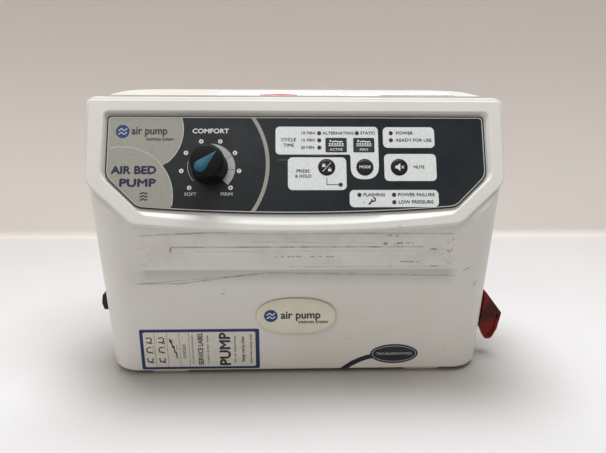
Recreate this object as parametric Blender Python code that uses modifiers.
"""Control unit of an alternating-pressure mattress system: a sloped control face on a box
body, with knob, buttons, power rocker, air outlet, hanging hooks, compressor and valve.

Sizes are in millimetres and are turned into metres where a mesh is made. +X is to the
operator's right, -Y is the front and +Z is up. "root" puts the origin under the middle of
the whole unit. "control_plane" is the sloped face: its X runs right, its Y runs up the
slope from the top edge, and its Z comes out of the face.
"""

import math

import bmesh
import bpy
from mathutils import Matrix, Vector

for stale in list(bpy.data.objects):
    bpy.data.objects.remove(stale, do_unlink=True)

MM = 0.001
GAP = 0.3
WALL = 2.5

# Housing
FACE_LEAN = math.radians(27.5)
FACE_TOP_Z = 186.0
FLOOR_Z = 3.0
FRONT_Y = -33.6
PARTING_Y = 12.0
REAR_Y = 72.0
REAR_TOP_Z = 187.0
REAR_HALF_WIDTH = 131.0
BASE_HALF_WIDTH = 131.6
SIDE_DRAFT = 0.0262
FRONT_CORNER = 22.0
REAR_CORNER = 30.0

# Control face, measured down the slope from its top edge
BEZEL_THICK = 10.0
RECESS_DEEP = 3.0
PANEL_THICK = 0.8
PANEL_TOP = RECESS_DEEP - GAP - PANEL_THICK
FACE_WALL = 3.0
BOARD_DEEP = 12.9
BOARD_THICK = 1.6
KNOB_AT = (-55.6, 45.8)
KNOB_POINTS_AT = 46.0
KNOB_RADIUS = 11.4
KNOB_HIGH = 17.0
BUTTONS = {"lock": (19.0, 45.5), "mode": (43.7, 45.5), "mute": (66.0, 45.5)}
BUTTON_RADIUS = 5.0
LIGHTS = {
    "cycle": [(14.4, 22.7), (14.4, 27.5), (14.4, 32.4), (39.0, 22.6)],
    "power": [(61.2, 22.6), (61.2, 27.4)],
    "lock": [(27.8, 57.0)],
    "alarm": [(39.7, 63.7), (62.0, 63.7), (62.0, 68.5)],
}
LIGHT_RADIUS = 0.8

# Side controls
SWITCH_AT = (-2.0, 45.3)
LEVER_PIVOT = (139.0, 44.0)
LEVER_Y = (-11.0, -5.0)
PORT_Y = 4.0
PORTS_Z = (24.0, 38.0)
OUTLET_FACE = 135.7
INLET_AT = (41.0, 78.0)

# Back
HOOKS_X = (-75.0, 75.0)
HOOK_PIVOT_Z = 158.0
SCREWS_AT = [(-102.0, 13.0), (102.0, 13.0), (-102.0, 160.0), (102.0, 160.0)]
FILTER_AT = (0.0, 40.0)

# Inside
PUMP_X, PUMP_Y = -28.0, 34.0
VALVE_AT = (64.0, 36.0)
FEET_AT = [(-89.0, -20.5), (89.0, -20.5), (-89.0, 57.0), (89.0, 57.0)]
FOOT_PAD = (28.0, 21.0)
FOOT_HIGH = FLOOR_Z - GAP

model = bpy.data.collections.new("pressure_relief_pump")
helpers = bpy.data.collections.new("cutters_and_joined_shapes")
bpy.context.scene.collection.children.link(model)
bpy.context.scene.collection.children.link(helpers)
helpers.hide_render = True


# ---------------------------------------------------------------- places


def empty(name, at=(0, 0, 0), turn=(0, 0, 0), parent=None):
    holder = bpy.data.objects.new(name, None)
    holder.empty_display_size = 0.01
    holder.location = Vector(at) * MM
    holder.rotation_euler = turn
    holder.parent = parent
    model.objects.link(holder)
    return holder


ROOT_OFFSET = (-5.36, -30.3, 0.0)
root = empty("root", ROOT_OFFSET)
control_plane = empty(
    "control_plane", (0, 0, FACE_TOP_Z), (math.radians(90) - FACE_LEAN, 0, 0), root
)


def on_face(x, down, out=0.0):
    return (x, -down, out)


def side_x(z):
    """Half the width of the front cover at this height."""
    return BASE_HALF_WIDTH + SIDE_DRAFT * (z - FLOOR_Z)


# ---------------------------------------------------------------- shapes


def put(obj, at=(0, 0, 0), turn=(0, 0, 0), parent=root):
    obj.location = Vector(at) * MM
    obj.rotation_euler = turn
    obj.parent = parent
    model.objects.link(obj)
    return obj


def from_bmesh(name, bm, at, turn, parent):
    bmesh.ops.recalc_face_normals(bm, faces=bm.faces)
    mesh = bpy.data.meshes.new(name)
    bm.to_mesh(mesh)
    bm.free()
    return put(bpy.data.objects.new(name, mesh), at, turn, parent)


def box(name, size, at=(0, 0, 0), turn=(0, 0, 0), parent=root, edge=0.0):
    bm = bmesh.new()
    bmesh.ops.create_cube(bm, size=1, matrix=Matrix.Diagonal((*(Vector(size) * MM), 1)))
    if edge:
        bmesh.ops.bevel(
            bm, geom=bm.edges[:], offset=edge * MM, segments=1, affect="EDGES", profile=0.5
        )
    return from_bmesh(name, bm, at, turn, parent)


def cylinder(name, radius, high, at=(0, 0, 0), turn=(0, 0, 0), parent=root, sides=18, edge=0.0):
    """A cylinder whose base is at the place given, along its own +Z."""
    bm = bmesh.new()
    bmesh.ops.create_cone(
        bm,
        cap_ends=True,
        segments=sides,
        radius1=radius * MM,
        radius2=radius * MM,
        depth=high * MM,
        matrix=Matrix.Translation((0, 0, high * MM / 2)),
    )
    if edge:
        rim = [e for e in bm.edges if all(v.co.z > high * MM * 0.9 for v in e.verts)]
        bmesh.ops.bevel(bm, geom=rim, offset=edge * MM, segments=2, affect="EDGES", profile=0.5)
    return from_bmesh(name, bm, at, turn, parent)


def turned(name, profile, at=(0, 0, 0), turn=(0, 0, 0), parent=root, sides=32):
    """A profile of (radius, height) points, from top to bottom, turned about +Z."""
    bm = bmesh.new()
    row = [bm.verts.new((r * MM, 0, z * MM)) for r, z in profile]
    for a, b in zip(row, row[1:]):
        bm.edges.new((a, b))
    bmesh.ops.remove_doubles(bm, verts=bm.verts, dist=1e-7)
    mesh = bpy.data.meshes.new(name)
    bm.to_mesh(mesh)
    bm.free()
    obj = put(bpy.data.objects.new(name, mesh), at, turn, parent)
    screw = obj.modifiers.new("turn", "SCREW")
    screw.steps = screw.render_steps = sides
    screw.use_merge_vertices = True
    screw.merge_threshold = 1e-5
    screw.use_smooth_shade = True
    return obj


def fillet(corners, steps=4):
    """The points of an outline whose corners, given as (x, y, radius), are rounded."""
    points = []
    for i, (x, y, radius) in enumerate(corners):
        here = Vector((x, y))
        before = Vector(corners[i - 1][:2]) - here
        after = Vector(corners[(i + 1) % len(corners)][:2]) - here
        half = before.angle(after) / 2
        reach = radius / math.tan(half) if radius else 0
        reach = min(reach, before.length * 0.49, after.length * 0.49)
        if reach < 1e-6:
            points.append((x, y))
            continue
        start = here + before.normalized() * reach
        end = here + after.normalized() * reach
        for k in range(steps + 1):
            t = k / steps
            bent = start * (1 - t) ** 2 + here * 2 * t * (1 - t) + end * t**2
            points.append((bent.x, bent.y))
    return points


def oval(half_x, half_y, power, count):
    """A closed outline between an ellipse (power 2) and a rectangle (high powers)."""
    points = []
    for k in range(count):
        a = math.tau * k / count
        c, s = math.cos(a), math.sin(a)
        x = half_x * math.copysign(abs(c) ** (2 / power), c)
        y = half_y * math.copysign(abs(s) ** (2 / power), s)
        points.append((x, y))
    return points


def loft(name, layers, at=(0, 0, 0), turn=(0, 0, 0), parent=root):
    """Layers of (outline, height) with equally many points, skinned into one solid."""
    bm = bmesh.new()
    rings = []
    for outline, height in layers:
        rings.append([bm.verts.new((x * MM, y * MM, height * MM)) for x, y in outline])
        for a, b in zip(rings[-1], rings[-1][1:] + rings[-1][:1]):
            bm.edges.new((a, b))
    for lower, upper in zip(rings, rings[1:]):
        pair = {*lower, *upper}
        between = [
            e
            for e in bm.edges
            if set(e.verts) <= pair and abs(e.verts[0].co.z - e.verts[1].co.z) < 1e-9
        ]
        bmesh.ops.bridge_loops(bm, edges=between)
    bm.faces.new(rings[0])
    bm.faces.new(rings[-1])
    return from_bmesh(name, bm, at, turn, parent)


def plate(name, outline, thick, at=(0, 0, 0), turn=(0, 0, 0), parent=root, edge=0.0):
    """A flat outline made solid, with its middle at the place given and its edges eased."""
    curve = bpy.data.curves.new(name, "CURVE")
    curve.dimensions = "2D"
    curve.fill_mode = "BOTH"
    curve.extrude = (thick / 2 - edge) * MM
    if edge:
        curve.bevel_depth = edge * MM
        curve.bevel_resolution = 1
        curve.offset = -edge * MM
    line = curve.splines.new("POLY")
    line.points.add(len(outline) - 1)
    for point, (x, y) in zip(line.points, outline):
        point.co = (x * MM, y * MM, 0, 1)
    line.use_cyclic_u = True
    return solid_from_curve(name, curve, at, turn, parent)


def tube(name, points, radius, parent=root, sides=1, closed=False):
    """A round rod or hose along points."""
    curve = bpy.data.curves.new(name, "CURVE")
    curve.dimensions = "3D"
    curve.bevel_depth = radius * MM
    curve.bevel_resolution = sides
    curve.use_fill_caps = True
    line = curve.splines.new("POLY")
    line.points.add(len(points) - 1)
    for point, co in zip(line.points, points):
        point.co = (*(Vector(co) * MM), 1)
    line.use_cyclic_u = closed
    return solid_from_curve(name, curve, (0, 0, 0), (0, 0, 0), parent)


def solid_from_curve(name, curve, at, turn, parent):
    guide = bpy.data.objects.new(name + "_line", curve)
    bpy.context.scene.collection.objects.link(guide)
    mesh = bpy.data.meshes.new_from_object(
        guide.evaluated_get(bpy.context.evaluated_depsgraph_get())
    )
    bpy.data.objects.remove(guide, do_unlink=True)
    bpy.data.curves.remove(curve)
    mesh.name = name
    mesh.materials.clear()
    bm = bmesh.new()
    bm.from_mesh(mesh)
    bmesh.ops.remove_doubles(bm, verts=bm.verts, dist=1e-6)
    bmesh.ops.recalc_face_normals(bm, faces=bm.faces)
    bm.to_mesh(mesh)
    bm.free()
    return put(bpy.data.objects.new(name, mesh), at, turn, parent)


def smooth_path(points, radius=9.0, steps=4):
    """A bent line through 3-D points, with each corner turned on an arc."""
    path = [Vector(points[0])]
    for before, here, after in zip(points, points[1:], points[2:]):
        here = Vector(here)
        back = Vector(before) - here
        on = Vector(after) - here
        reach = min(radius, back.length * 0.48, on.length * 0.48)
        start = here + back.normalized() * reach
        end = here + on.normalized() * reach
        for k in range(steps + 1):
            t = k / steps
            path.append(start * (1 - t) ** 2 + here * 2 * t * (1 - t) + end * t**2)
    path.append(Vector(points[-1]))
    return path


# ---------------------------------------------------------------- joining and cutting


def as_helper(obj):
    for users in list(obj.users_collection):
        users.objects.unlink(obj)
    helpers.objects.link(obj)
    obj.hide_render = True
    obj.display_type = "WIRE"
    return obj


def combine(obj, other, operation):
    modifier = obj.modifiers.new(operation.lower() + "_" + other.name, "BOOLEAN")
    modifier.operation = operation
    modifier.object = as_helper(other)
    modifier.solver = "EXACT"
    return obj


def cut(obj, *cutters):
    for cutter in cutters:
        combine(obj, cutter, "DIFFERENCE")
    return obj


def join(obj, *others):
    for other in others:
        combine(obj, other, "UNION")
    return obj


def bore(name, radius, start, end, parent=root, sides=12):
    """A round cutter between two points."""
    start, end = Vector(start), Vector(end)
    along = end - start
    turn = along.to_track_quat("Z", "Y").to_euler()
    return cylinder(name, radius, along.length, start, turn, parent, sides)


# ---------------------------------------------------------------- materials

SHADES = {}


def finish(obj, name, colour, rough=0.5, metal=0.0, smooth=True):
    """Gives the object its own Principled material and smooth shading on its round sides."""
    if name not in SHADES:
        shade = bpy.data.materials.new(name)
        shade.use_nodes = True
        principled = shade.node_tree.nodes["Principled BSDF"]
        principled.inputs["Base Color"].default_value = (*colour, 1)
        principled.inputs["Roughness"].default_value = rough
        principled.inputs["Metallic"].default_value = metal
        shade.diffuse_color = (*colour, 1)
        SHADES[name] = shade
    obj.data.materials.clear()
    obj.data.materials.append(SHADES[name])
    if smooth:
        obj.data.shade_smooth()
        obj.data.set_sharp_from_angle(angle=math.radians(35))
    return obj


CREAM = ("cream_abs", (0.68, 0.66, 0.61), 0.42)
OFF_WHITE = ("off_white_rubber", (0.55, 0.50, 0.44), 0.7)
BLACK = ("black_plastic", (0.012, 0.013, 0.013), 0.38)
TEAL = ("teal_plastic", (0.01, 0.10, 0.16), 0.35)
RED = ("red_plastic", (0.16, 0.015, 0.012), 0.25)
PANEL = ("panel_film", (0.03, 0.035, 0.035), 0.3)
LENS = ("clear_lens", (0.75, 0.76, 0.72), 0.2)
RESIN = ("resin_badge", (0.72, 0.66, 0.50), 0.12)
STEEL = ("steel", (0.55, 0.55, 0.55), 0.3, 1.0)
LAMINATE = ("steel_laminations", (0.22, 0.22, 0.22), 0.5, 1.0)
COPPER = ("copper_winding", (0.55, 0.20, 0.07), 0.4, 1.0)
GREEN = ("circuit_board", (0.02, 0.16, 0.06), 0.45)
GREY = ("grey_plastic", (0.30, 0.31, 0.32), 0.5)
NYLON = ("white_nylon", (0.78, 0.78, 0.75), 0.45)
RUBBER = ("black_rubber", (0.02, 0.02, 0.02), 0.75)
FOAM = ("filter_foam", (0.05, 0.05, 0.055), 0.95)
SILICONE = ("silicone_hose", (0.75, 0.76, 0.74), 0.35)


# ---------------------------------------------------------------- outlines on the face


def face_outline(half_top, top, half_side, side, half_low, low, middle, corner, sweep, shift=0.0):
    """Straight top, straight sides, rounded lower corners and a bowed lower edge."""
    bow = []
    for k in range(1, 8):
        t = 1 - k / 4
        bow.append((half_low * t, -(middle - (middle - low) * t * t), 0))
    corners = [
        (-half_top, -top, corner),
        (half_top, -top, corner),
        (half_side, -side, sweep),
        (half_low, -low, sweep),
        *bow,
        (-half_low, -low, sweep),
        (-half_side, -side, sweep),
    ]
    return [(x + shift, y) for x, y in fillet(corners)]


BEZEL_OUTLINE = face_outline(134.8, 0.4, 134.2, 56.0, 104.3, 83.0, 87.9, 3.0, 13.0)
RECESS_OUTLINE = face_outline(125.2, 8.6, 125.6, 51.5, 98.2, 76.5, 83.0, 4.0, 10.0, 0.9)
SEAT_OUTLINE = face_outline(123.5, 9.8, 123.5, 52.2, 102.2, 73.2, 77.2, 3.5, 10.0, 0.4)
PANEL_OUTLINE = face_outline(122.6, 11.0, 122.6, 51.8, 101.8, 72.0, 76.0, 3.0, 10.0, 0.4)


# ---------------------------------------------------------------- covers


def side_profile(name, points, half):
    """A (y, z) outline pulled out sideways."""
    return plate(name, points, 2 * half, (0, 0, 0), (math.radians(90), 0, math.radians(90)))


def plan_prism(name, half, front, back, corner, low, high, top_edge):
    """A block with rounded front corners in plan and an eased top edge."""
    outline = fillet(
        [(-half, back, 0), (-half, front, corner), (half, front, corner), (half, back, 0)], 6
    )
    prism = plate(name, outline, high - low, (0, 0, (low + high) / 2))
    lean = SIDE_DRAFT / half
    for vertex in prism.data.vertices:
        vertex.co.x *= 1 + lean * (vertex.co.z / MM - (high - low) / 2)
    if top_edge:
        bm = bmesh.new()
        bm.from_mesh(prism.data)
        top = max(v.co.z for v in bm.verts)
        rim = [
            e
            for e in bm.edges
            if all(abs(v.co.z - top) < 1e-7 for v in e.verts)
            and len(e.link_faces) == 2
            and e.calc_face_angle() > 0.5
            and min(v.co.y for v in e.verts) < (back - 1) * MM
        ]
        bmesh.ops.bevel(
            bm, geom=rim, offset=top_edge * MM, segments=3, affect="EDGES", profile=0.5
        )
        bm.to_mesh(prism.data)
        bm.free()
    return prism


def behind_face(distance, y):
    """The height at which the plane this far behind the face stands over y."""
    down = (distance * math.cos(FACE_LEAN) - y) / math.sin(FACE_LEAN)
    return FACE_TOP_Z - down * math.cos(FACE_LEAN) - distance * math.sin(FACE_LEAN)


def front_solid():
    y = FRONT_Y
    points = [
        (PARTING_Y, FLOOR_Z),
        (y + 1.5, FLOOR_Z),
        (y, FLOOR_Z + 1.5),
        (y + 0.9, 60),
        (y + 1.5, 70),
        (y + 2.3, 74),
        (y + 2.5, 77),
        (y + 2.2, 80),
        (y + 1.3, 84),
        (y - 0.5, 104),
        (y - 0.5, behind_face(2, y - 0.5)),
        (1.8, behind_face(2, 1.8)),
        (2.8, FACE_TOP_Z),
        (PARTING_Y, FACE_TOP_Z),
    ]
    body = side_profile("front_cover", points, 150)
    half = side_x(FACE_TOP_Z)
    plan = plan_prism(
        "front_plan", half, y - 0.8, PARTING_Y + 5, FRONT_CORNER, FLOOR_Z - 2, FACE_TOP_Z + 0.01, 3.0
    )
    return combine(body, plan, "INTERSECT")


def front_cavity():
    y = FRONT_Y + WALL
    deep = RECESS_DEEP + FACE_WALL
    high = FACE_TOP_Z - WALL
    back = PARTING_Y - WALL
    top_y = (deep - (FACE_TOP_Z - high) * math.sin(FACE_LEAN)) / math.cos(FACE_LEAN)
    points = [
        (back, FLOOR_Z + WALL),
        (y, FLOOR_Z + WALL),
        (y + 0.9, 60),
        (y + 2.5, 75),
        (y + 2.5, 79),
        (y - 0.3, 104),
        (y - 0.3, behind_face(deep, y - 0.3)),
        (top_y, high),
        (back, high),
    ]
    body = side_profile("front_cavity", points, 150)
    plan = plan_prism(
        "front_cavity_plan",
        side_x(FACE_TOP_Z) - WALL,
        y - 0.6,
        PARTING_Y + 5,
        FRONT_CORNER - WALL,
        FLOOR_Z,
        FACE_TOP_Z + 2,
        0,
    )
    return combine(body, plan, "INTERSECT")


def front_cover():
    cover = front_solid()
    bezel = plate(
        "bezel", BEZEL_OUTLINE, BEZEL_THICK, (0, 0, -BEZEL_THICK / 2), parent=control_plane, edge=1.0
    )
    join(cover, bezel)
    cut(cover, front_cavity())
    rear_opening = box(
        "front_rear_opening",
        (2 * (REAR_HALF_WIDTH - WALL), 8, FACE_TOP_Z - FLOOR_Z - 2 * WALL - 1),
        (0, PARTING_Y, (FACE_TOP_Z + FLOOR_Z) / 2),
    )
    cut(cover, rear_opening)
    above = 1.0
    reach = 1 + above / RECESS_DEEP
    mouth = [
        (sx + (rx - sx) * reach, sy + (ry - sy) * reach)
        for (sx, sy), (rx, ry) in zip(SEAT_OUTLINE, RECESS_OUTLINE)
    ]
    cut(cover, loft("recess", [(SEAT_OUTLINE, -RECESS_DEEP), (mouth, above)], parent=control_plane))
    for x, z in SCREWS_AT:
        start_y = FRONT_Y + 1 if z < 100 else PARTING_Y - 19.5
        boss = bore(f"front_boss_{x:.0f}_{z:.0f}", 4.0, (x, start_y, z), (x, PARTING_Y - GAP, z))
        join(cover, boss)
    for x in (-88.0, 88.0):
        for down in (19.0, 63.0):
            post = cylinder(
                f"board_post_{x:.0f}_{down:.0f}",
                2.5,
                BOARD_DEEP - RECESS_DEEP - 1 - GAP,
                on_face(x, down, -BOARD_DEEP + GAP),
                parent=control_plane,
                sides=12,
            )
            join(cover, post)
    for x, z in SCREWS_AT:
        cut(cover, bore(f"front_boss_hole_{x:.0f}_{z:.0f}", 1.8, (x, -4, z), (x, 30, z), sides=10))
    cut(cover, *face_holes("cover", RECESS_DEEP + FACE_WALL + 2))
    cut(
        cover,
        box("switch_hole", (14, 13.2, 19.2), (-side_x(47) + 1, *SWITCH_AT)),
        box("outlet_hole", (14, 10.6, 31), (side_x(31) - 1, PORT_Y, sum(PORTS_Z) / 2)),
    )
    for x, y in FEET_AT[:2]:
        cut(cover, bore(f"foot_hole_{x:.0f}", 3.4, (x, y, 0), (x, y, 12)))
    return finish(cover, *CREAM)


def face_holes(tag, deep):
    """Cutters through the face for the knob shaft, the buttons and the lights."""
    cutters = [
        cylinder(f"{tag}_shaft_hole", 3.8, deep + 4, on_face(*KNOB_AT, -deep), parent=control_plane,
                 sides=20)
    ]
    for name, place in BUTTONS.items():
        cutters.append(
            cylinder(f"{tag}_{name}_hole", BUTTON_RADIUS + 0.4, deep + 4, on_face(*place, -deep),
                     parent=control_plane, sides=20)
        )
    for name, places in LIGHTS.items():
        for k, place in enumerate(places):
            cutters.append(
                cylinder(f"{tag}_{name}_light_hole_{k}", LIGHT_RADIUS + 0.3, deep + 4,
                         on_face(*place, -deep), parent=control_plane, sides=8)
            )
    return cutters


def rear_block(name, inset):
    """The rear cover's outside, or its inside when it is inset by the wall."""
    half = REAR_HALF_WIDTH - inset
    front = PARTING_Y + GAP - (5 if inset else 0)
    back = REAR_Y - inset
    low, high = FLOOR_Z + inset, REAR_TOP_Z - inset
    size = Vector((2 * half, back - front, high - low))
    bm = bmesh.new()
    bmesh.ops.create_cube(bm, size=1, matrix=Matrix.Diagonal((*(size * MM), 1)))
    back_y = size.y / 2 * MM

    def edges_where(test):
        return [e for e in bm.edges if all(test(v.co) for v in e.verts)]

    upright = [
        e
        for e in edges_where(lambda p: abs(p.y - back_y) < 1e-7)
        if abs(e.verts[0].co.x - e.verts[1].co.x) < 1e-7
    ]
    bmesh.ops.bevel(
        bm, geom=upright, offset=(REAR_CORNER - inset) * MM, segments=6, affect="EDGES", profile=0.5
    )
    for level, radius, segments in ((size.z / 2, 6.0, 3), (-size.z / 2, 5.0, 2)):
        rim = [
            e
            for e in edges_where(lambda p: abs(p.z - level * MM) < 1e-7)
            if max(v.co.y for v in e.verts) > -back_y + 1e-7
        ]
        bmesh.ops.bevel(
            bm, geom=rim, offset=(radius - inset) * MM, segments=segments, affect="EDGES",
            profile=0.5,
        )
    return from_bmesh(name, bm, (0, (front + back) / 2, (low + high) / 2), (0, 0, 0), root)


def rear_cover():
    cover = rear_block("rear_cover", 0)
    cut(cover, rear_block("rear_cavity", WALL))
    for x, z in SCREWS_AT:
        post = bore(f"rear_post_{x:.0f}_{z:.0f}", 4.8, (x, PARTING_Y + 2 * GAP, z), (x, REAR_Y - 1, z))
        join(cover, post)
    for x in HOOKS_X:
        join(cover, bore(f"hook_pad_{x:.0f}", 11, (x, REAR_Y - 1, HOOK_PIVOT_Z),
                         (x, REAR_Y + 1.5, HOOK_PIVOT_Z), sides=20))
        cut(cover, bore(f"hook_hole_{x:.0f}", 3.3, (x, REAR_Y - 9, HOOK_PIVOT_Z),
                        (x, REAR_Y + 9, HOOK_PIVOT_Z)))
    for x, z in SCREWS_AT:
        cut(
            cover,
            bore(f"screw_well_{x:.0f}_{z:.0f}", 3.5, (x, PARTING_Y + 4, z), (x, REAR_Y + 5, z)),
            bore(f"screw_hole_{x:.0f}_{z:.0f}", 1.8, (x, PARTING_Y - 4, z), (x, PARTING_Y + 6, z),
                 sides=10),
        )
    for x, z in BOARD_POSTS:
        join(cover, bore(f"main_post_{x:.0f}_{z:.0f}", 3, (x, MAIN_BOARD_Y + 1.6 + GAP, z),
                         (x, REAR_Y - 1, z), sides=12))
    fx, fz = FILTER_AT
    cut(cover, box("filter_hole", (40, 12, 22), (fx, REAR_Y, fz)))
    join(
        cover,
        *(box(f"filter_bar_{k}", (2, WALL, 24), (fx + (k - 1) * 10, REAR_Y - WALL / 2, fz))
          for k in range(3)),
    )
    cut(cover, box("inlet_hole", (12, 27.6, 46.6), (-REAR_HALF_WIDTH, *INLET_AT)))
    for row, z in enumerate((84.0, 112.0)):
        for k in range(9):
            x = (k - 4) * 9.0
            cut(cover, box(f"vent_{row}_{k}", (3, 12, 18), (x, REAR_Y, z)))
    for x, y in FEET_AT[2:]:
        cut(cover, bore(f"foot_hole_rear_{x:.0f}", 3.4, (x, y, 0), (x, y, 12)))
    return finish(cover, *CREAM)


# ---------------------------------------------------------------- control face


def control_panel():
    panel = plate(
        "control_panel",
        PANEL_OUTLINE,
        PANEL_THICK,
        (0, 0, -RECESS_DEEP + GAP + PANEL_THICK / 2),
        parent=control_plane,
    )
    cut(panel, *face_holes("panel", 8))
    return finish(panel, *PANEL, smooth=False)


def buttons():
    for name, place in BUTTONS.items():
        top = -PANEL_TOP + 0.6
        button = turned(
            f"{name}_button",
            [
                (0, top),
                (BUTTON_RADIUS - 0.7, top - 0.05),
                (BUTTON_RADIUS, top - 0.5),
                (BUTTON_RADIUS, -6.4),
                (BUTTON_RADIUS + 1.5, -6.4),
                (BUTTON_RADIUS + 1.5, -7.6),
                (2.0, -7.6),
                (2.0, -9.0),
                (0, -9.0),
            ],
            on_face(*place),
            parent=control_plane,
            sides=20,
        )
        finish(button, *BLACK)


def knob():
    hub = empty("knob_axis", on_face(*KNOB_AT), (0, 0, math.radians(-KNOB_POINTS_AT)), control_plane)
    base = -PANEL_TOP + 0.5
    cap = turned(
        "comfort_knob",
        [
            (0, base + KNOB_HIGH),
            (9.3, base + KNOB_HIGH - 0.1),
            (10.0, base + KNOB_HIGH - 0.9),
            (10.9, base + 2.4),
            (KNOB_RADIUS, base + 2.0),
            (KNOB_RADIUS, base),
            (4.6, base),
            (3.2, base + 0.6),
            (3.2, base + 9.0),
            (0, base + 9.0),
        ],
        parent=hub,
        sides=28,
    )
    inlay = 0.8
    cut(
        cap,
        plate("pointer_pocket", drop_outline(4.15, 5.0, 9.9), 6, (0, 0, base + KNOB_HIGH + 3 - inlay),
              parent=hub),
    )
    finish(cap, *BLACK)
    pointer = plate(
        "knob_pointer", drop_outline(3.8, 5.0, 9.2), inlay, (0, 0, base + KNOB_HIGH - 0.1),
        parent=hub, edge=0.2,
    )
    finish(pointer, *TEAL)
    top = -RECESS_DEEP - FACE_WALL - GAP
    shaft_low = top - 2.1
    shaft = cylinder(
        "knob_shaft", 2.85, base + 8.6 - shaft_low, (0, 0, shaft_low), parent=hub, sides=20, edge=0.4
    )
    cut(shaft, box("shaft_flat", (8, 3, 8), (0, 3.6, base + 5.4), parent=hub))
    finish(shaft, *STEEL)
    body = turned(
        "comfort_dial_switch",
        [
            (3.2, top),
            (5.2, top),
            (5.2, top - 1.0),
            (8.0, top - 1.0),
            (8.0, -BOARD_DEEP + GAP),
            (0, -BOARD_DEEP + GAP),
            (0, top - 2.4),
            (3.2, top - 2.4),
            (3.2, top),
        ],
        on_face(*KNOB_AT),
        parent=control_plane,
        sides=20,
    )
    finish(body, *GREY)


def drop_outline(radius, back, tip):
    """A teardrop: a round end centred this far back, and straight sides to a point towards +Y."""
    opening = math.degrees(math.acos(radius / (tip + back)))
    points = [(0, tip)]
    steps = 14
    for k in range(steps + 1):
        a = math.radians(90 + opening + (360 - 2 * opening) * k / steps)
        points.append((radius * math.cos(a), -back + radius * math.sin(a)))
    return points


def light_guides():
    for name, places in LIGHTS.items():
        spread_x = max(p[0] for p in places) - min(p[0] for p in places)
        spread_y = max(p[1] for p in places) - min(p[1] for p in places)
        middle = (
            (max(p[0] for p in places) + min(p[0] for p in places)) / 2,
            (max(p[1] for p in places) + min(p[1] for p in places)) / 2,
        )
        foot = box(
            f"{name}_light_guide",
            (spread_x + 2.4, spread_y + 2.4, 2.4),
            on_face(*middle, -8.6),
            parent=control_plane,
        )
        for k, place in enumerate(places):
            stem = cylinder(
                f"{name}_light_{k}",
                LIGHT_RADIUS,
                8.6 - PANEL_TOP + 0.25,
                on_face(*place, -8.6),
                parent=control_plane,
                sides=8,
            )
            join(foot, stem)
        finish(foot, *LENS)


def display_board():
    board = box(
        "display_board",
        (188, 54, BOARD_THICK),
        on_face(0, 41, -BOARD_DEEP - BOARD_THICK / 2),
        parent=control_plane,
    )
    for name, place in BUTTONS.items():
        join(board, box(f"{name}_tact", (6, 6, 3.6), on_face(*place, -BOARD_DEEP + 1.2),
                        parent=control_plane))
    for name, places in LIGHTS.items():
        for k, place in enumerate(places):
            join(board, box(f"{name}_led_{k}", (2, 2, 3.2), on_face(*place, -BOARD_DEEP + 1.1),
                            parent=control_plane))
    join(board, box("display_socket", (24, 6, 7), on_face(-10, 60, -BOARD_DEEP - 4),
                    parent=control_plane))
    join(board, box("buzzer", (12, 12, 8), on_face(70, 30, -BOARD_DEEP - 4), parent=control_plane))
    finish(board, *GREEN, smooth=False)


def badge():
    z_mid = 45.0
    turn = (math.radians(90), 0, 0)
    rim = oval(27.0, 13.5, 2.4, 32)
    crown = oval(25.6, 12.2, 2.4, 32)
    solid = loft("oval_badge", [(rim, 0), (rim, 0.9), (crown, 1.7)],
                 (-0.7, FRONT_Y + 0.25, z_mid), turn)
    finish(solid, *RESIN)


# ---------------------------------------------------------------- sides


def power_switch():
    y, z = SWITCH_AT
    wall = -side_x(z)
    body = box("power_switch_body", (18.6, 12.6, 18.6), (wall + 8.7, y, z))
    join(body, box("switch_flange", (1.0, 15, 21.4), (wall - 0.85, y, z), (0, -SIDE_DRAFT, 0)))
    cut(body, box("switch_pocket", (12, 10.4, 17.4), (wall, y, z)))
    for k in range(3):
        join(body, box(f"switch_blade_{k}", (8, 4.8, 0.8), (wall + 20, y, z + (k - 1) * 6)))
    finish(body, *BLACK)
    outline = fillet(
        [(0.5, 7.4, 0.3), (-3.0, 7.7, 1.5), (-6.4, 3.4, 3.0), (-7.4, -2.5, 3.0),
         (-6.4, -7.9, 1.4), (0.2, -7.9, 0.3), (3.4, -2.5, 0.5), (3.6, 2.0, 0.5)], 3)
    turn = (math.radians(90), 0, 0)
    rocker = plate("power_rocker", outline, 9.6, (wall, y, z), turn, edge=0.35)
    finish(rocker, *BLACK)


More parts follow.
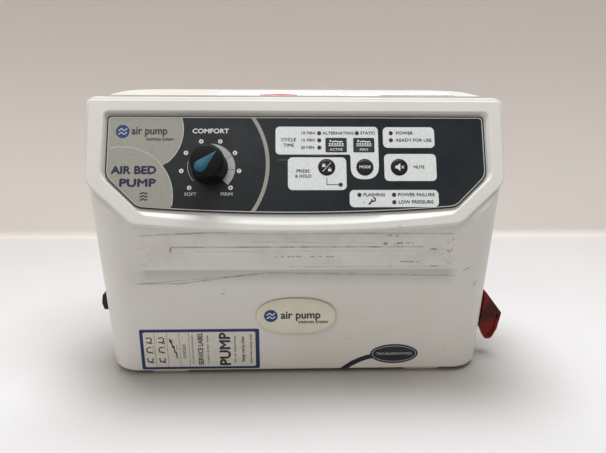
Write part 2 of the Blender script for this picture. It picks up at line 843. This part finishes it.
def air_outlet():
    x = side_x(31)
    middle = sum(PORTS_Z) / 2
    block = box("air_outlet_block", (23, 10, 30), (x - 9.5, PORT_Y, middle))
    join(
        block,
        box("outlet_plate", (1.8, 14, 42), (OUTLET_FACE - 0.9, 4.2, middle + 0.5), edge=0.5),
        box("lever_boss", (7.0, 2.4, 9.6), (x + 5.0, -3.6, LEVER_PIVOT[1] - 1.6), edge=0.5),
        box("lever_boss_foot", (1.8, 3.2, 9.6), (OUTLET_FACE - 0.9, -3.2, LEVER_PIVOT[1] - 1.6)),
    )
    for k, z in enumerate(PORTS_Z):
        join(block, bore(f"barb_{k}", 2.6, (x - 30, PORT_Y, z), (x - 20, PORT_Y, z), sides=10))
        join(block, bore(f"barb_rim_{k}", 3.1, (x - 29, PORT_Y, z), (x - 27.4, PORT_Y, z), sides=10))
    for k, z in enumerate(PORTS_Z):
        cut(
            block,
            bore(f"port_{k}", 4.2, (x - 14, PORT_Y, z), (x + 6, PORT_Y, z), sides=16),
            bore(f"port_throat_{k}", 1.5, (x - 34, PORT_Y, z), (x - 12, PORT_Y, z), sides=8),
        )
    cut(block, bore("pin_seat", 1.9, (LEVER_PIVOT[0], -6, LEVER_PIVOT[1]),
                    (LEVER_PIVOT[0], -3.4, LEVER_PIVOT[1]), sides=14))
    finish(block, *GREY)
    for k, z in enumerate(PORTS_Z):
        ring = turned(
            f"outlet_ring_{k + 1}",
            [(3.9, 0), (3.9, -1.4), (2.9, -1.4), (2.9, 0), (3.9, 0)],
            (x - 9, PORT_Y, z),
            (0, math.radians(90), 0),
            sides=16,
        )
        finish(ring, *RUBBER)


def release_lever():
    px, pz = LEVER_PIVOT
    y0, y1 = LEVER_Y
    corners = [(137.0, 51.6, 0.6), (150.9, 34.0, 2.2), (149.0, 20.5, 3.0), (145.6, 12.6, 3.0),
               (140.6, 12.2, 3.0), (135.6, 22.6, 1.5)]
    around = [(x - px, z - pz, r) for x, z, r in corners]
    turn = (math.radians(90), 0, 0)
    lever = plate(
        "release_lever", fillet(around, 2), y1 - y0, (px, (y0 + y1) / 2, pz), turn, edge=0.5
    )
    inner = [(x - px, z - pz, r) for x, z, r in
             [(138.2, 35.5, 0.8), (148.6, 33.4, 1.5), (147.0, 21.2, 2.0), (144.6, 15.0, 2.0),
              (141.2, 14.8, 2.0), (137.9, 22.9, 1.0)]]
    for side, y in (("front", y0 + 0.2), ("rear", y1 - 0.2)):
        cut(lever, plate(f"lever_dish_{side}", fillet(inner, 2), 2.4, (px, y, pz), turn))
    cut(lever, bore("lever_bore", 2.1, (px, y0 + 1.6, pz), (px, y1 + 3, pz), sides=14))
    finish(lever, *RED)
    pin = bore("lever_pin", 1.7, (px, y0 + 2.0, pz), (px, -3.6, pz), sides=12)
    finish(pin, *STEEL)


def mains_inlet():
    x = -REAR_HALF_WIDTH
    y, z = INLET_AT
    inlet = box("mains_inlet", (24.4, 26.8, 45.8), (x + 11.4, y, z))
    join(inlet, box("inlet_flange", (2.2, 31, 50), (x - 1.5, y, z), edge=0.6))
    socket_z = z + 8.0
    drawer_z = z - 14.0
    turn = (math.radians(90), 0, math.radians(90))
    shape = fillet([(-12, -8.2, 1.5), (12, -8.2, 1.5), (12, 3.6, 1.0), (7.4, 8.2, 1.0),
                    (-7.4, 8.2, 1.0), (-12, 3.6, 1.0)], 2)
    cut(
        inlet,
        plate("socket_hollow", shape, 19, (x + 6.0, y, socket_z), turn),
        box("drawer_hollow", (22, 23, 10.6), (x + 7.0, y, drawer_z)),
    )
    for k, (dy, dz) in enumerate(((-7, -1.6), (0, 2.6), (7, -1.6))):
        join(inlet, box(f"mains_blade_{k}", (14, 2.0, 4.0), (x + 10, y + dy, socket_z + dz)))
    for k, dy in enumerate((-8, 0, 8)):
        join(inlet, box(f"mains_tab_{k}", (8, 4.8, 0.8), (x + 27, y + dy, z + 4)))
    finish(inlet, *BLACK)
    drawer = box("fuse_drawer", (19.5, 22.2, 9.8), (x + 6.5, y, drawer_z), edge=0.4)
    for k, dz in enumerate((-1, 1)):
        cut(drawer, bore(f"fuse_bore_{k}", 2.0, (x + 30, y - 5 * dz, drawer_z),
                         (x + 3, y - 5 * dz, drawer_z), sides=10))
    join(drawer, box("drawer_lip", (1.6, 12, 1.6), (x - 3.6, y, drawer_z + 3)))
    finish(drawer, *BLACK)


# ---------------------------------------------------------------- back


def hooks():
    for tag, x in zip(("left", "right"), HOOKS_X):
        y = REAR_Y + 1.5 + GAP
        thick = 3.0
        outline = strap_outline(thick)
        turn = (math.radians(90), 0, math.radians(90))
        hook = plate(f"{tag}_hook", outline, 17, (x, y, HOOK_PIVOT_Z), turn)
        cut(hook, bore(f"{tag}_hook_bore", 3.4, (x, y - 3, HOOK_PIVOT_Z), (x, y + 8, HOOK_PIVOT_Z)))
        finish(hook, *GREY)
        pivot = turned(
            f"{tag}_hook_pivot",
            [
                (0, 6.0),
                (4.2, 5.8),
                (5.4, 4.8),
                (5.4, thick + GAP),
                (3.0, thick + GAP),
                (3.0, -6.5),
                (0, -6.5),
            ],
            (x, y, HOOK_PIVOT_Z),
            (math.radians(-90), 0, 0),
            sides=16,
        )
        cut(pivot, box(f"{tag}_pivot_slot", (12, 1.6, 1.4), (x, y + 6.2, HOOK_PIVOT_Z)))
        finish(pivot, *STEEL)


def strap_outline(thick):
    """The side view of a flat hook that hangs down, turns out and comes back up."""
    outer = [(0, 12, 1.2), (0, -57, 9.0), (27, -57, 9.0), (27, -35, 1.2)]
    inner = [(27 - thick, -35, 1.2), (27 - thick, -57 + thick, 7.0),
             (thick, -57 + thick, 7.0), (thick, 12, 1.2)]
    return fillet(outer + inner, 3)


def cover_screws():
    for k, (x, z) in enumerate(SCREWS_AT):
        seat = PARTING_Y + 4 + GAP
        screw = turned(
            f"cover_screw_{k + 1}",
            [(0, 2.4), (2.2, 2.2), (3.0, 1.2), (3.0, 0), (1.45, 0), (1.45, -15), (0, -16)],
            (x, seat, z),
            (math.radians(-90), 0, 0),
            sides=12,
        )
        for turn in (0, 90):
            cut(
                screw,
                box(f"cross_{k}_{turn}", (3.6, 1.6, 0.8), (x, seat + 2.3, z),
                    (0, math.radians(turn), 0)),
            )
        finish(screw, *STEEL)


def air_filter():
    fx, fz = FILTER_AT
    y = REAR_Y + GAP
    hinge_z = fz - 16
    cover = box("filter_cover", (50, 3.6, 32), (fx, y + 1.8, fz), edge=0.8)
    cover.data.transform(Matrix.Translation((0, 0, (fz - hinge_z) * MM)))
    cover.location = Vector((fx, y + 1.8, hinge_z)) * MM
    for k in range(5):
        cut(cover, box(f"filter_slot_{k}", (36, 12, 2.4), (fx, y + 3, fz - 9.6 + 4.8 * k)))
    join(cover, box("filter_tab", (10, 3, 4), (fx, y + 2.8, fz + 16.5), edge=0.5))
    finish(cover, *CREAM)
    foam = box("filter_foam", (44, 4.6, 26), (fx, REAR_Y - WALL - GAP - 2.3, fz))
    finish(foam, *FOAM, smooth=False)


def feet():
    half_x, half_y = FOOT_PAD[0] / 2, FOOT_PAD[1] / 2
    for k, (x, y) in enumerate(FEET_AT):
        layers = []
        for inset, height in ((1.2, 0), (0.4, 0.5), (0, FOOT_HIGH)):
            a, b = half_x - inset, half_y - inset
            corners = [(-a, -b, 4), (a, -b, 4), (a, b, 4), (-a, b, 4)]
            layers.append((fillet(corners), height))
        foot = loft(f"foot_{k + 1}", layers, (x, y, 0))
        join(foot, cylinder(f"foot_stem_{k + 1}", 3.0, 7.6, (x, y, 1.4), sides=16, edge=0.6))
        finish(foot, *OFF_WHITE)


# ---------------------------------------------------------------- inside

MAIN_BOARD_Y = 60.0
BOARD_POSTS = [(x, z) for x in (-82.0, 34.0) for z in (134.0, 170.0)]


def compressor():
    x, y = PUMP_X, PUMP_Y
    base_z = 16.0
    base = box("compressor_base", (116, 40, 3), (x, y, base_z + 1.5))
    for side in (-1, 1):
        for k in (-1, 1):
            cheek = box(f"arm_cheek_{side}_{k}", (7, 3, 13),
                        (x + side * 26, y + k * 10, base_z + 8))
            join(base, cheek)
    for k, (dx, dy) in enumerate(((-54, -15), (54, -15), (-54, 15), (54, 15))):
        cut(base, bore(f"isolator_hole_{k}", 2.6, (x + dx, y + dy, 10), (x + dx, y + dy, 24)))
    for side in (-1, 1):
        cut(base, bore(f"arm_pin_hole_{side}", 1.8, (x + side * 26, y - 20, base_z + 11),
                       (x + side * 26, y + 20, base_z + 11), sides=12))
    finish(base, *STEEL)
    for k, (dx, dy) in enumerate(((-54, -15), (54, -15), (-54, 15), (54, 15))):
        isolator = turned(
            f"isolator_{k + 1}",
            [(0, 23), (3.2, 22.4), (4.4, 20.4), (2.2, 19.3), (2.2, 15.7), (6, 15.7), (4.6, 11),
             (6, FLOOR_Z + WALL + GAP), (0, FLOOR_Z + WALL + GAP)],
            (x + dx, y + dy, 0),
            sides=10,
        )
        finish(isolator, *RUBBER)
    stator = box("compressor_stator", (12, 30, 46), (x, y, base_z + 26.3))
    for k, dz in enumerate((-17, 0, 17)):
        join(stator, box(f"stator_pole_{k}", (34, 30, 9), (x, y, base_z + 28 + dz)))
    for side in (-1, 1):
        join(stator, box(f"winding_{side}", (9, 36, 22), (x + side * 10.8, y, base_z + 28),
                         edge=2.5))
    finish(stator, *COPPER)
    for side, tag in ((-1, "left"), (1, "right")):
        pivot = (x + side * 26, y, base_z + 11)
        arm = box(f"{tag}_pump_arm", (4, 14, 46), pivot)
        arm.data.transform(Matrix.Translation((0, 0, 19 * MM)))
        pin = bore(f"{tag}_arm_pin", 1.5, (pivot[0], y - 12, pivot[2]), (pivot[0], y + 12, pivot[2]),
                   sides=12)
        magnet = box(f"{tag}_magnet", (4.6, 20, 18), (pivot[0] - side * 3.4, y, base_z + 28))
        join(arm, pin, magnet)
        finish(arm, *LAMINATE)
        bellows = turned(
            f"{tag}_bellows",
            [(0, 9.0), (11, 9.0), (14, 7.4), (11.5, 5.6), (14, 3.8), (11, 2.2), (6, 0), (0, 0)],
            (pivot[0] + side * 2.4, y, base_z + 42),
            (0, math.radians(90 * side), 0),
            sides=14,
        )
        finish(bellows, *RUBBER)
        head_x = pivot[0] + side * 23
        head = box(f"{tag}_pump_head", (20, 34, 40), (head_x, y, base_z + 39.5), edge=2.0)
        join(
            head,
            bore(f"{tag}_head_barb", 2.6, (head_x, y, base_z + 58), (head_x, y, base_z + 70),
                 sides=10),
            box(f"{tag}_head_foot", (14, 20, 18), (head_x - side * 3, y, base_z + 12.4)),
        )
        cut(head, bore(f"{tag}_head_throat", 1.4, (head_x, y, base_z + 45),
                       (head_x, y, base_z + 80), sides=8))
        finish(head, *NYLON)


def valve():
    x, y = VALVE_AT
    floor = FLOOR_Z + WALL + GAP
    motor = cylinder("valve_motor", 21, 19, (x, y, floor), sides=20, edge=1.2)
    for k in (-1, 1):
        join(motor, box(f"valve_ear_{k}", (10, 12, 3), (x + k * 24, y, floor + 1.5)))
    finish(motor, *STEEL)
    deck = floor + 19 + GAP
    manifold = cylinder("valve_manifold", 18, 13, (x, y, deck), sides=18, edge=1.0)
    for k, (dx, dy) in enumerate(((1, -8), (1, 8), (-1, -8), (-1, 8))):
        start = (x + dx * 14, y + dy, deck + 7)
        end = (x + dx * 24, y + dy, deck + 7)
        join(manifold, bore(f"manifold_barb_{k}", 2.6, start, end, sides=8))
    cut(manifold, bore("manifold_bore", 3.4, (x, y, deck - 4), (x, y, deck + 20)))
    finish(manifold, *NYLON)
    rotor = turned(
        "valve_rotor",
        [(0, 8.0), (4, 8.0), (5, 7.0), (5, 5.5), (15.4, 5.5), (16, 4.9), (16, GAP), (2.9, GAP),
         (2.9, -12.6), (0, -12.6)],
        (x, y, deck + 13),
        sides=20,
    )
    for k in range(3):
        a = math.radians(120 * k)
        port = (x + 10 * math.cos(a), y + 10 * math.sin(a))
        cut(rotor, bore(f"rotor_port_{k}", 2.0, (*port, deck + 12), (*port, deck + 22), sides=8))
    finish(rotor, *BLACK)


def main_board():
    y = MAIN_BOARD_Y
    board = box("main_board", (128, 1.6, 46), (-24, y + 0.8, 152))
    parts = {
        "relay": ((20, 16, 16), (-66, y - 7.5, 160)),
        "socket": ((30, 9, 8), (-66, y - 4, 136)),
        "controller": ((16, 3, 16), (-8, y - 1, 150)),
        "heatsink": ((22, 18, 8), (24, y - 8.5, 162)),
        "connector": ((26, 8, 7), (14, y - 3.5, 134)),
    }
    for name, (size, at) in parts.items():
        join(board, box(f"main_{name}", size, at))
    for k, (x, z, r) in enumerate(((-30, 140, 6), (-30, 156, 6), (6, 166, 4))):
        join(board, bore(f"capacitor_{k}", r, (x, y - 20 + k, z), (x, y + 1, z), sides=10))
    finish(board, *GREEN, smooth=False)
    core = box("transformer", (34, 26, 30), (-52, y - 14 - GAP, 108), edge=0.8)
    join(
        core,
        box("transformer_coil", (24, 34, 18), (-52, y - 14 - GAP, 108), edge=2.0),
        box("transformer_foot", (52, 2, 16), (-52, REAR_Y - WALL - GAP - 1, 108)),
        box("transformer_leg", (30, 12, 14), (-52, y + 3, 108)),
    )
    finish(core, *LAMINATE)


def hoses():
    x, y = VALVE_AT
    deck_z = FLOOR_Z + WALL + GAP + 19 + GAP + 7
    ex = side_x(31) - 30 - 1
    near = x - 28.6
    far = ex + 8
    runs = {
        "outlet_hose_1": [(ex, PORT_Y, PORTS_Z[0]), (ex - 7, PORT_Y, PORTS_Z[0]),
                          (ex - 7, 17, 26), (far, 22, 29), (far, y - 8, deck_z),
                          (x + 25, y - 8, deck_z)],
        "outlet_hose_2": [(ex, PORT_Y, PORTS_Z[1]), (ex - 7, PORT_Y, PORTS_Z[1]),
                          (ex - 5, 18, 42), (far + 2, 38, 44), (far + 2, y + 8, deck_z),
                          (x + 25, y + 8, deck_z)],
        "pump_hose_left": [(PUMP_X - 49, PUMP_Y, 87), (PUMP_X - 49, PUMP_Y, 95),
                           (PUMP_X - 46, 16, 95), (near - 4, 16, 95), (near, y - 8, 84),
                           (near, y - 8, deck_z), (x - 25, y - 8, deck_z)],
        "pump_hose_right": [(PUMP_X + 49, PUMP_Y, 87), (PUMP_X + 49, PUMP_Y, 96),
                            (near, y + 8, 90), (near, y + 8, deck_z), (x - 25, y + 8, deck_z)],
    }
    for name, points in runs.items():
        hose = tube(name, smooth_path(points, 7.0, 2), 3.4)
        finish(hose, *SILICONE)


front_cover()
rear_cover()
control_panel()
buttons()
knob()
light_guides()
display_board()
badge()
power_switch()
air_outlet()
release_lever()
mains_inlet()
hooks()
cover_screws()
air_filter()
feet()
compressor()
valve()
main_board()
hoses()
bpy.context.view_layer.update()
